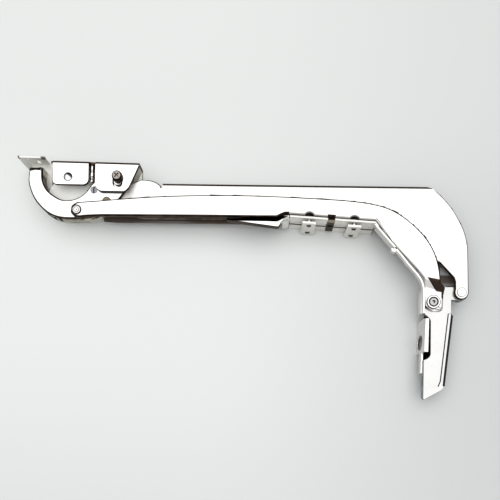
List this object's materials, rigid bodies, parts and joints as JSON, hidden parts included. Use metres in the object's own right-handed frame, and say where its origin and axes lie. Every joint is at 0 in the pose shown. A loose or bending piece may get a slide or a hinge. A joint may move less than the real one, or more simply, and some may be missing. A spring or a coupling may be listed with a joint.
{
  "type": "lid stay",
  "caption": "Parallel-arm lid stay: a flat front arm and a folded rear arm join a fixed head and rail to a gooseneck head with a screw-clamped carrier.",
  "frame": {"origin": "centre of the bounding box, at its lowest plane; the stay lies flat on z = 0", "axes": "+X along the closed arms towards the fixed head, +Y the way the gooseneck head moves as the stay opens, +Z out of the front; every pivot is parallel to Z"},
  "size_m": [0.4046, 0.2046, 0.027],
  "materials": {
    "nickel_sheet": "bright nickel-plated steel sheet",
    "nickel_satin": "satin nickel-plated steel",
    "zinc_cast": "matte plated, fine cast texture",
    "head_satin": "off-white satin plated casting",
    "screw_steel": "plated screw steel",
    "steel_dark": "turned steel, grey",
    "dark_pin": "dark bronzed steel"
  },
  "bodies": {
    "frame_side": {"fixed_head": "head_satin", "shoulder_bolt": "screw_steel", "bolt_washer": "nickel_satin", "rear_arm_rivet": "nickel_satin", "rivet_washer": "nickel_satin", "jamb_bracket": "nickel_satin", "bracket_rivets": "screw_steel", "corner_strip_upper": "nickel_satin", "corner_strip_lower": "nickel_satin", "strip_lap": "nickel_satin", "rail_plate_outer": "zinc_cast", "rail_plate_inner": "zinc_cast", "rail_link": "nickel_satin", "clamp_plate_outer": "zinc_cast", "clamp_plate_inner": "zinc_cast", "rail_screws": "screw_steel", "end_ramp": "nickel_sheet"},
    "front_arm_body": {"front_arm": "nickel_sheet", "arm_bush": "nickel_satin"},
    "rear_arm_body": {"rear_arm": "nickel_sheet", "arm_stiffener": "nickel_satin"},
    "lid_head": {"gooseneck": "nickel_sheet", "front_arm_pin": "nickel_satin", "rear_arm_pin": "dark_pin", "slotted_eccentric": "steel_dark", "end_pad": "zinc_cast", "clamp_screw": "screw_steel", "slot_washer": "nickel_satin", "square_nut": "screw_steel"},
    "carrier_body": {"carrier": "nickel_sheet", "dome_rivet": "screw_steel", "guide_shoe": "zinc_cast", "height_stud": "screw_steel"}
  },
  "joints": [
    {"name": "front_arm_swing", "type": "hinge", "parent": "frame_side", "child": "front_arm_body", "pos_m": [0.1702, -0.01542, 0.018], "axis": [0, 0, -1], "range_deg": [0, 80]},
    {"name": "rear_arm_swing", "type": "hinge", "parent": "frame_side", "child": "rear_arm_body", "pos_m": [0.1954, -0.00592, 0.0141], "axis": [0, 0, -1], "range_deg": [0, 80]},
    {"name": "lid_head_turn", "type": "hinge", "parent": "front_arm_body", "child": "lid_head", "pos_m": [-0.14783, 0.05518, 0.0225], "axis": [0, 0, -1], "range_deg": [-80, 0]},
    {"name": "carrier_adjust", "type": "slide", "parent": "lid_head", "child": "carrier_body", "axis": [0, 1, 0], "range_m": [0, 0.002]}
  ],
  "couplings": [
    {"joint": "rear_arm_swing", "follows": "front_arm_swing", "ratio": 1},
    {"joint": "lid_head_turn", "follows": "front_arm_swing", "ratio": -1}
  ]
}
